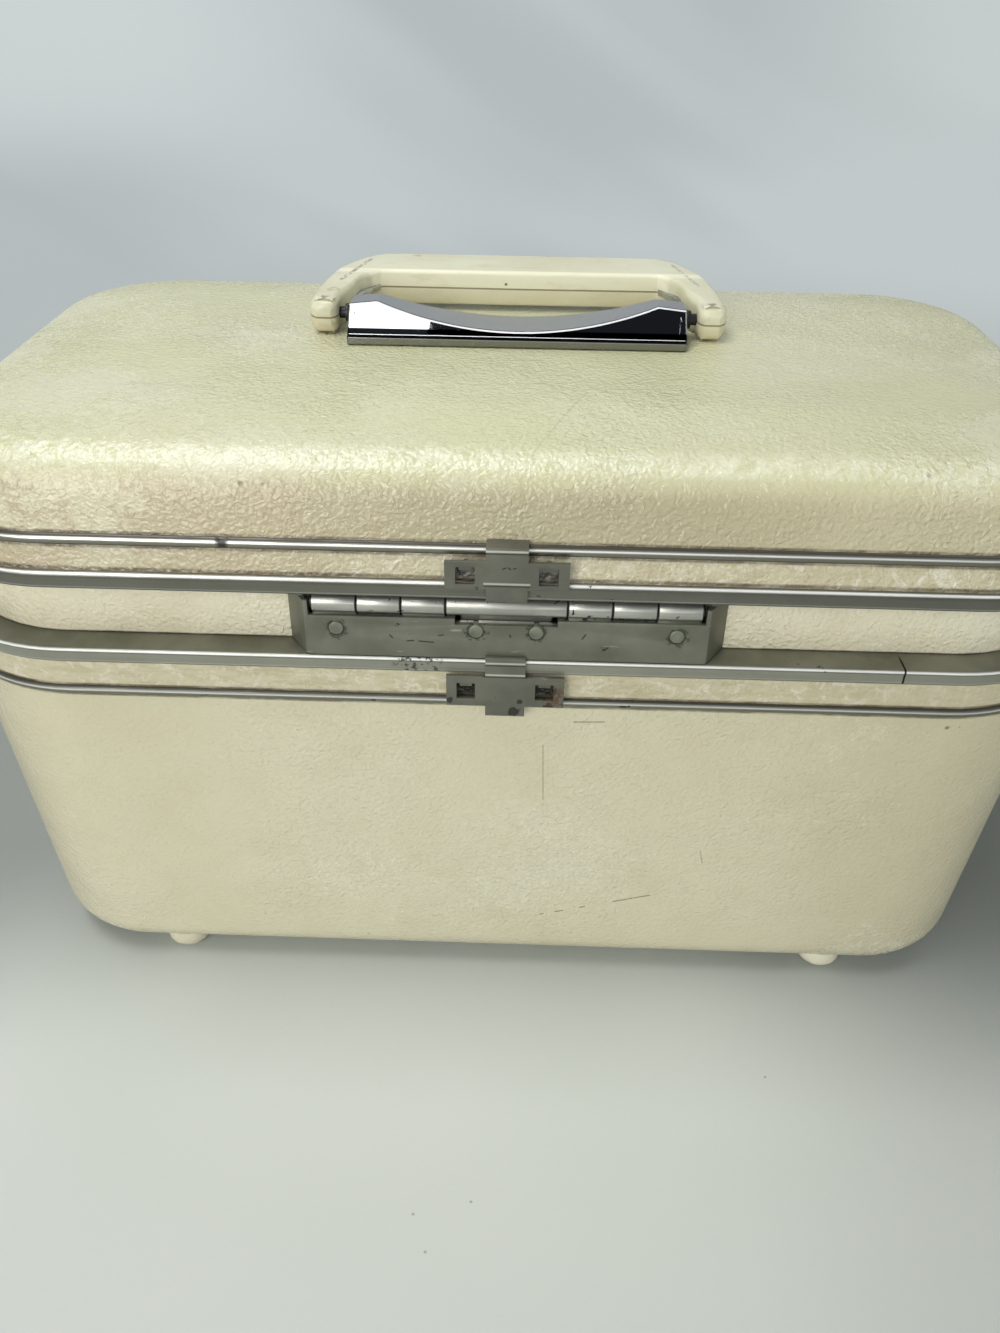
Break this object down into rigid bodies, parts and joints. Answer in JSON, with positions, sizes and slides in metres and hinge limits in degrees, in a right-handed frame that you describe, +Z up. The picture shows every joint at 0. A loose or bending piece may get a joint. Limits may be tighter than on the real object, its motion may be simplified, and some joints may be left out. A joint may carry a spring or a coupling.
{
  "type": "cosmetic train case",
  "caption": "Hard-shell vanity case with framed shells, a back hinge, a folding top handle, front latches, a lid mirror and a lift-out tray.",
  "frame": {"origin": "on the floor, under the middle of the case", "axes": "+Z up, -Y the front with the latches, +Y the back with the hinge, +X to the right seen from the front"},
  "size_m": [0.365, 0.2024, 0.2197],
  "materials": {
    "shell": "leather-grained vinyl skin, cream with paler streaks",
    "band": "grained cream inlay",
    "bead": "polished, worn",
    "frame": "dull grey with a bright upper edge",
    "clip": "satin grey, chipped to rust at its edges",
    "hinge_paint": "satin grey paint, chipped",
    "leaf": "worn bright with dark chips",
    "dark_steel": "dark oiled steel",
    "rivet": "dull steel",
    "foot": "moulded cream plastic",
    "lining": "quiet woven lining on board",
    "latch_body": "pressed steel",
    "latch_lever": "polished",
    "lock": "satin brass",
    "bracket": "polished chrome with a satin top",
    "handle": "moulded cream plastic, satin",
    "inner_steel": "plain mild steel",
    "mirror_frame": "moulded cream plastic",
    "mirror": "silvered glass",
    "tray": "moulded ivory plastic",
    "mat": "short red plush"
  },
  "bodies": {
    "base": {"base_shell": "shell", "base_bead": "bead", "base_frame": "frame", "recess_band": "band", "base_joint_clip": "clip", "hinge_pan": "hinge_paint", "hinge_base_leaf": "leaf", "hinge_pin": "dark_steel", "hinge_rivets": "rivet", "anchor_rivets": "rivet", "feet": "foot", "foot_rivets": "rivet", "base_lining": "lining", "tray_ledges": "lining", "latch_housing_left": "latch_body", "latch_housing_right": "latch_body", "latch_pins": "latch_body", "latch_springs": "dark_steel"},
    "lid": {"lid_shell": "shell", "lid_bead": "bead", "lid_frame": "frame", "lid_joint_clip": "clip", "hinge_lid_leaf": "leaf", "lid_leaf_rivets": "rivet", "handle_bracket": "bracket", "handle_pins": "dark_steel", "backing_plate": "inner_steel", "bracket_screws": "rivet", "lid_lining": "lining", "mirror_frame": "mirror_frame", "mirror_glass": "mirror", "mirror_screws": "rivet", "strike_left": "latch_body", "strike_right": "latch_body", "strike_rivets": "rivet"},
    "handle": {"handle_upper_half": "handle", "handle_lower_half": "handle", "handle_core": "inner_steel"},
    "latch_left": {"latch_lever_left": "latch_lever"},
    "latch_right": {"latch_lever_right": "latch_lever"},
    "lock_left": {"lock_cylinder_left": "lock", "lock_cam_left": "latch_body"},
    "lock_right": {"lock_cylinder_right": "lock", "lock_cam_right": "latch_body"},
    "tray": {"tray": "tray", "tray_divider": "tray", "tray_mats": "mat"}
  },
  "joints": [
    {"name": "lid_hinge", "type": "hinge", "parent": "base", "child": "lid", "pos_m": [0, 0.097, 0.1614], "axis": [-1, 0, 0], "range_deg": [0, 95]},
    {"name": "handle_fold", "type": "hinge", "parent": "lid", "child": "handle", "pos_m": [0, -0.011, 0.21146], "axis": [-1, 0, 0], "range_deg": [0, 173]},
    {"name": "latch_left_swing", "type": "hinge", "parent": "base", "child": "latch_left", "pos_m": [-0.095, -0.0957, 0.1496], "axis": [1, 0, 0], "range_deg": [0, 80]},
    {"name": "latch_right_swing", "type": "hinge", "parent": "base", "child": "latch_right", "pos_m": [0.095, -0.0957, 0.1496], "axis": [1, 0, 0], "range_deg": [0, 80]},
    {"name": "lock_left_turn", "type": "hinge", "parent": "latch_left", "child": "lock_left", "pos_m": [-0.095, -0.096, 0.1556], "axis": [0, 1, 0], "range_deg": [0, 90]},
    {"name": "lock_right_turn", "type": "hinge", "parent": "latch_right", "child": "lock_right", "pos_m": [0.095, -0.096, 0.1556], "axis": [0, 1, 0], "range_deg": [0, 90]},
    {"name": "tray_lift", "type": "slide", "parent": "base", "child": "tray", "axis": [0, 0, 1], "range_m": [0, 0.033]}
  ]
}
